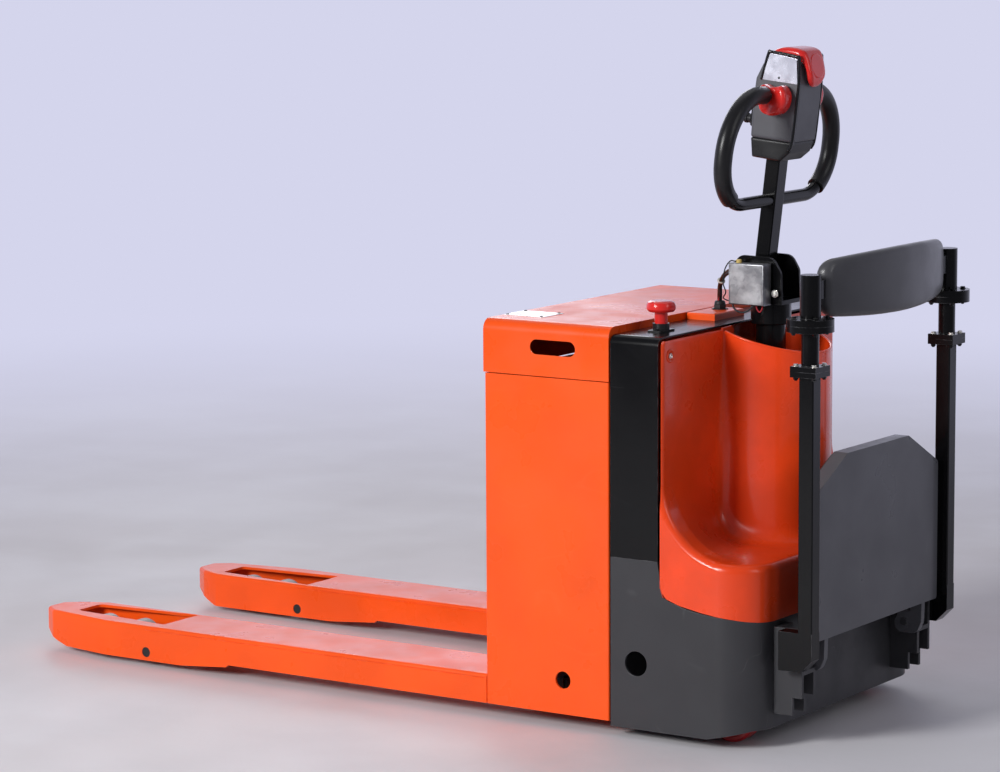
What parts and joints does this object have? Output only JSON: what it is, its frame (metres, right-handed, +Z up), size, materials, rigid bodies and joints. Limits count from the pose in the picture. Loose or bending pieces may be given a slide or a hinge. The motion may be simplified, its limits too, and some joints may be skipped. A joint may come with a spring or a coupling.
{
  "type": "electric pallet truck",
  "caption": "Rider electric pallet truck: low lift forks with load wheels, battery box, drive unit, steering tiller with loop handle, folding platform and padded backrest.",
  "frame": {"origin": "on the floor, at the middle of the overall length and width", "axes": "+Z up, +X from the fork tips to the operator's end, +Y to the operator's right when facing the forks"},
  "size_m": [1.889, 0.677, 1.2931],
  "materials": {
    "orange_paint": "gloss powder coat",
    "orange_moulding": "gloss moulded cover",
    "black_gloss_paint": "gloss",
    "black_satin_paint": "satin",
    "black_moulding": "gloss skin",
    "galvanised_steel": "zinc plated",
    "dark_steel": "oiled",
    "motor_black": "satin",
    "hub_iron": "cast",
    "black_tread": "matt",
    "caster_red": "polyurethane",
    "roller_grey": "polyurethane",
    "grip_rubber": "satin",
    "head_grey": "fine texture",
    "control_red": "gloss",
    "black_plastic": "satin",
    "battery_grey": "satin"
  },
  "bodies": {
    "chassis": {"base_frame": "black_satin_paint", "upper_arch": "black_gloss_paint", "hood": "orange_moulding", "controller_cover": "orange_paint", "cable_gland": "black_plastic", "harness": "grip_rubber", "controller": "motor_black", "pump_unit": "motor_black", "lift_cylinder": "dark_steel", "estop_base": "black_plastic", "rear_brackets": "black_satin_paint", "post_left": "black_gloss_paint", "post_right": "black_gloss_paint", "post_stubs": "black_gloss_paint", "post_tops": "black_gloss_paint", "flange_bolts": "galvanised_steel", "backrest_pad": "black_moulding"},
    "fork_carriage": {"battery_box": "orange_paint", "fork_left": "orange_paint", "fork_right": "orange_paint", "lever_pivot_pins": "dark_steel", "battery_case": "black_satin_paint", "battery_cells": "battery_grey", "piston_rod": "dark_steel"},
    "battery_cover": {"battery_lid": "orange_paint"},
    "torsion_link": {"torsion_shaft": "black_satin_paint"},
    "steering": {"steering_column": "black_gloss_paint", "drive_motor": "motor_black", "gearbox": "dark_steel", "tiller_bracket": "black_gloss_paint", "switch_box": "galvanised_steel"},
    "drive_wheel": {"drive_hub": "hub_iron", "drive_tyre": "black_tread"},
    "tiller": {"tiller_arm": "black_gloss_paint", "handle_loop": "black_gloss_paint", "handle_grips": "grip_rubber", "head_shell": "head_grey", "head_base": "head_grey"},
    "throttle_grip_left": {"throttle_left": "control_red"},
    "throttle_grip_right": {"throttle_right": "control_red"},
    "reverse_button": {"belly_button": "control_red"},
    "raise_button": {"lift_button": "black_plastic"},
    "drop_button": {"lower_button": "black_plastic"},
    "stop_button": {"estop_knob": "control_red"},
    "platform": {"platform_tray": "black_satin_paint", "platform_mat": "black_tread"},
    "load_lever_left": {"lever_left": "black_satin_paint"},
    "load_bogie_left": {"bogie_left": "black_satin_paint"},
    "link_rod_left": {"push_rod_left": "black_satin_paint"},
    "roller_left_front": {"load_roller_left_front": "roller_grey"},
    "roller_left_rear": {"load_roller_left_rear": "roller_grey"},
    "load_lever_right": {"lever_right": "black_satin_paint"},
    "load_bogie_right": {"bogie_right": "black_satin_paint"},
    "link_rod_right": {"push_rod_right": "black_satin_paint"},
    "roller_right_front": {"load_roller_right_front": "roller_grey"},
    "roller_right_rear": {"load_roller_right_rear": "roller_grey"},
    "caster_swivel_left": {"caster_yoke_left": "black_satin_paint"},
    "caster_roll_left": {"caster_wheel_left": "caster_red"},
    "caster_swivel_right": {"caster_yoke_right": "black_satin_paint"},
    "caster_roll_right": {"caster_wheel_right": "caster_red"}
  },
  "joints": [
    {"name": "fork_lift", "type": "slide", "parent": "chassis", "child": "fork_carriage", "axis": [0, 0, 1], "range_m": [0, 0.115]},
    {"name": "lid_lift_off", "type": "slide", "parent": "fork_carriage", "child": "battery_cover", "axis": [0, 0, 1], "range_m": [0, 0.015]},
    {"name": "torsion_turn", "type": "hinge", "parent": "fork_carriage", "child": "torsion_link", "pos_m": [0.3345, 0, 0.09], "axis": [0, 1, 0], "range_deg": [0, 58]},
    {"name": "lever_turn_left", "type": "hinge", "parent": "fork_carriage", "child": "load_lever_left", "pos_m": [-0.6335, -0.25, 0.03], "axis": [0, -1, 0], "range_deg": [0, 58]},
    {"name": "bogie_turn_left", "type": "hinge", "parent": "load_lever_left", "child": "load_bogie_left", "pos_m": [-0.766, -0.25, 0.037], "axis": [0, -1, 0], "range_deg": [-58, 0]},
    {"name": "rod_push_left", "type": "slide", "parent": "fork_carriage", "child": "link_rod_left", "axis": [-1, 0, 0], "range_m": [0, 0.0256]},
    {"name": "roller_spin_left_front", "type": "hinge", "parent": "load_bogie_left", "child": "roller_left_front", "pos_m": [-0.8145, -0.25, 0.037], "axis": [0, 1, 0], "continuous": true},
    {"name": "roller_spin_left_rear", "type": "hinge", "parent": "load_bogie_left", "child": "roller_left_rear", "pos_m": [-0.7175, -0.25, 0.037], "axis": [0, 1, 0], "continuous": true},
    {"name": "lever_turn_right", "type": "hinge", "parent": "fork_carriage", "child": "load_lever_right", "pos_m": [-0.6335, 0.25, 0.03], "axis": [0, -1, 0], "range_deg": [0, 58]},
    {"name": "bogie_turn_right", "type": "hinge", "parent": "load_lever_right", "child": "load_bogie_right", "pos_m": [-0.766, 0.25, 0.037], "axis": [0, -1, 0], "range_deg": [-58, 0]},
    {"name": "rod_push_right", "type": "slide", "parent": "fork_carriage", "child": "link_rod_right", "axis": [-1, 0, 0], "range_m": [0, 0.0256]},
    {"name": "roller_spin_right_front", "type": "hinge", "parent": "load_bogie_right", "child": "roller_right_front", "pos_m": [-0.8145, 0.25, 0.037], "axis": [0, 1, 0], "continuous": true},
    {"name": "roller_spin_right_rear", "type": "hinge", "parent": "load_bogie_right", "child": "roller_right_rear", "pos_m": [-0.7175, 0.25, 0.037], "axis": [0, 1, 0], "continuous": true},
    {"name": "steer_turn", "type": "hinge", "parent": "chassis", "child": "steering", "pos_m": [0.6515, 0, 0.5], "axis": [0, 0, 1], "range_deg": [-90, 90], "deforming": ["harness"]},
    {"name": "drive_spin", "type": "hinge", "parent": "steering", "child": "drive_wheel", "pos_m": [0.6515, 0, 0.115], "axis": [0, 1, 0], "continuous": true},
    {"name": "tiller_tilt", "type": "hinge", "parent": "steering", "child": "tiller", "pos_m": [0.6365, 0, 0.86], "axis": [0, 1, 0], "range_deg": [0, 55], "stiffness_Nm_per_rad": 18, "springref_deg": -20.05},
    {"name": "throttle_turn_left", "type": "hinge", "parent": "tiller", "child": "throttle_grip_left", "pos_m": [0.67875, -0.064, 1.20412], "axis": [0, 1, 0], "range_deg": [-35, 35], "stiffness_Nm_per_rad": 0.5},
    {"name": "throttle_turn_right", "type": "hinge", "parent": "tiller", "child": "throttle_grip_right", "pos_m": [0.67875, 0.064, 1.20412], "axis": [0, 1, 0], "range_deg": [-35, 35], "stiffness_Nm_per_rad": 0.5},
    {"name": "reverse_press", "type": "slide", "parent": "tiller", "child": "reverse_button", "axis": [-0.1219, 0, -0.9925], "range_m": [0, 0.008], "stiffness_N_per_m": 800, "springref_m": -0.01},
    {"name": "raise_press", "type": "slide", "parent": "tiller", "child": "raise_button", "axis": [0.9925, 0, -0.1219], "range_m": [0, 0.004], "stiffness_N_per_m": 300, "springref_m": -0.004},
    {"name": "lower_press", "type": "slide", "parent": "tiller", "child": "drop_button", "axis": [0.9925, 0, -0.1219], "range_m": [0, 0.004], "stiffness_N_per_m": 300, "springref_m": -0.004},
    {"name": "stop_press", "type": "slide", "parent": "chassis", "child": "stop_button", "axis": [0, 0, -1], "range_m": [0, 0.006]},
    {"name": "platform_fold", "type": "hinge", "parent": "chassis", "child": "platform", "pos_m": [0.8445, 0, 0.165], "axis": [0, 1, 0], "range_deg": [0, 90], "stiffness_Nm_per_rad": 9, "springref_deg": -25.78},
    {"name": "caster_turn_left", "type": "hinge", "parent": "chassis", "child": "caster_swivel_left", "pos_m": [0.6885, -0.248, 0.18], "axis": [0, 0, 1], "continuous": true},
    {"name": "caster_spin_left", "type": "hinge", "parent": "caster_swivel_left", "child": "caster_roll_left", "pos_m": [0.7165, -0.248, 0.05], "axis": [0, 1, 0], "continuous": true},
    {"name": "caster_turn_right", "type": "hinge", "parent": "chassis", "child": "caster_swivel_right", "pos_m": [0.6885, 0.248, 0.18], "axis": [0, 0, 1], "continuous": true},
    {"name": "caster_spin_right", "type": "hinge", "parent": "caster_swivel_right", "child": "caster_roll_right", "pos_m": [0.7165, 0.248, 0.05], "axis": [0, 1, 0], "continuous": true}
  ],
  "couplings": [
    {"joint": "torsion_turn", "follows": "fork_lift", "rad_per_m": 8.79},
    {"joint": "throttle_turn_right", "follows": "throttle_turn_left", "ratio": 1},
    {"joint": "lever_turn_left", "follows": "fork_lift", "rad_per_m": 8.79},
    {"joint": "bogie_turn_left", "follows": "fork_lift", "rad_per_m": -8.79},
    {"joint": "rod_push_left", "follows": "fork_lift", "ratio": 0.2209},
    {"joint": "lever_turn_right", "follows": "fork_lift", "rad_per_m": 8.79},
    {"joint": "bogie_turn_right", "follows": "fork_lift", "rad_per_m": -8.79},
    {"joint": "rod_push_right", "follows": "fork_lift", "ratio": 0.2209}
  ]
}
